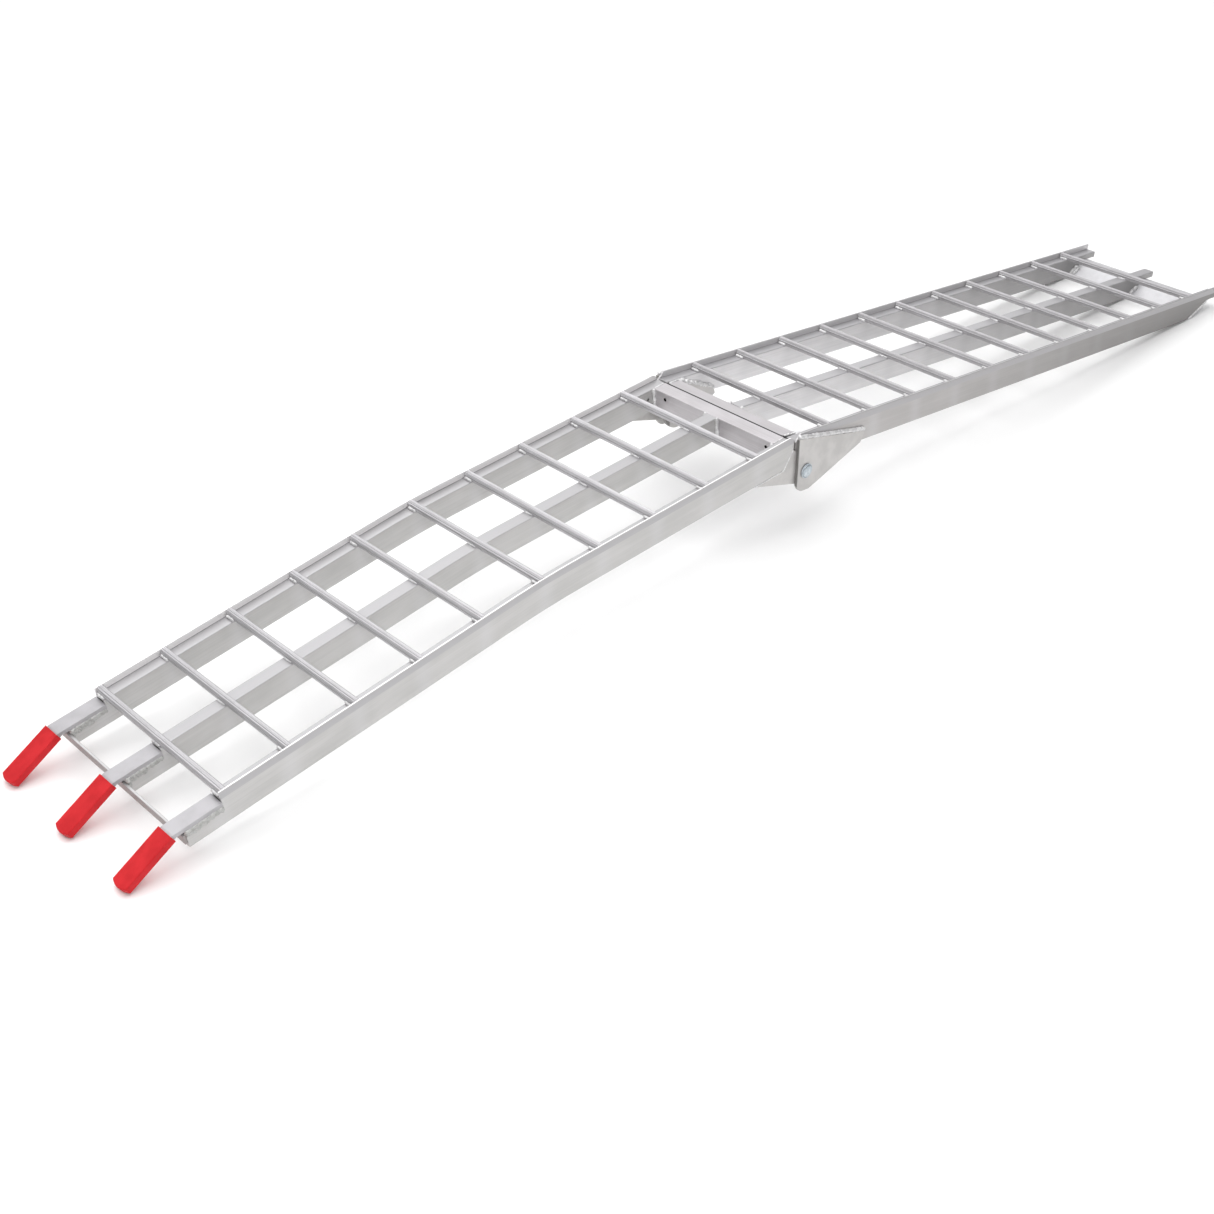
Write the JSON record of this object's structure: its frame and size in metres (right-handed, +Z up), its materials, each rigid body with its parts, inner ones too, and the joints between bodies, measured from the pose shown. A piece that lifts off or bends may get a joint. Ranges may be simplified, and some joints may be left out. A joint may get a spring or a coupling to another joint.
{
  "type": "folding loading ramp",
  "caption": "Arched aluminium loading ramp: two welded rung ladders on one fold axis, vinyl-sleeved fingers at the truck end, mitred foot plate at the ground end.",
  "frame": {"origin": "centre of the bounding box at floor level, with the finger tips and the foot plate's lower corner on the floor", "axes": "+X from the truck end to the ground end, +Y to the left across the ramp, +Z up"},
  "size_m": [2.3112, 0.3066, 0.1682],
  "materials": {
    "alloy": "mill-finish extrusion, lightly brushed",
    "red_vinyl": "dipped soft vinyl, satin",
    "zinc_steel": "bright zinc plate"
  },
  "bodies": {
    "ground_half": {"foot_plate": "alloy", "ground_centre_tube": "alloy", "ground_hinge_bar": "alloy", "ground_rail_left": "alloy", "ground_rail_right": "alloy", "ground_rung_01": "alloy", "ground_rung_02": "alloy", "ground_rung_03": "alloy", "ground_rung_04": "alloy", "ground_rung_05": "alloy", "ground_rung_06": "alloy", "ground_rung_07": "alloy", "ground_rung_08": "alloy", "ground_rung_09": "alloy", "ground_rung_10": "alloy", "ground_rung_11": "alloy", "hinge_ear_left_inner": "alloy", "hinge_ear_left_outer": "alloy", "hinge_ear_right_inner": "alloy", "hinge_ear_right_outer": "alloy", "hinge_pin_left": "zinc_steel", "hinge_pin_right": "zinc_steel", "lock_nut_left": "zinc_steel", "lock_nut_right": "zinc_steel", "pin_spacer_left": "zinc_steel", "pin_spacer_right": "zinc_steel"},
    "truck_half": {"finger_centre": "alloy", "finger_left": "alloy", "finger_right": "alloy", "finger_sleeve_centre": "red_vinyl", "finger_sleeve_left": "red_vinyl", "finger_sleeve_right": "red_vinyl", "hinge_tongue_left": "alloy", "hinge_tongue_right": "alloy", "truck_centre_tube": "alloy", "truck_end_bar": "alloy", "truck_hinge_bar": "alloy", "truck_rail_left": "alloy", "truck_rail_right": "alloy", "truck_rung_01": "alloy", "truck_rung_02": "alloy", "truck_rung_03": "alloy", "truck_rung_04": "alloy", "truck_rung_05": "alloy", "truck_rung_06": "alloy", "truck_rung_07": "alloy", "truck_rung_08": "alloy", "truck_rung_09": "alloy", "truck_rung_10": "alloy"}
  },
  "joints": [
    {"name": "fold", "type": "hinge", "parent": "ground_half", "child": "truck_half", "pos_m": [-0.00312, 0, 0.10518], "axis": [0, -1, 0], "range_deg": [0, 164]}
  ]
}
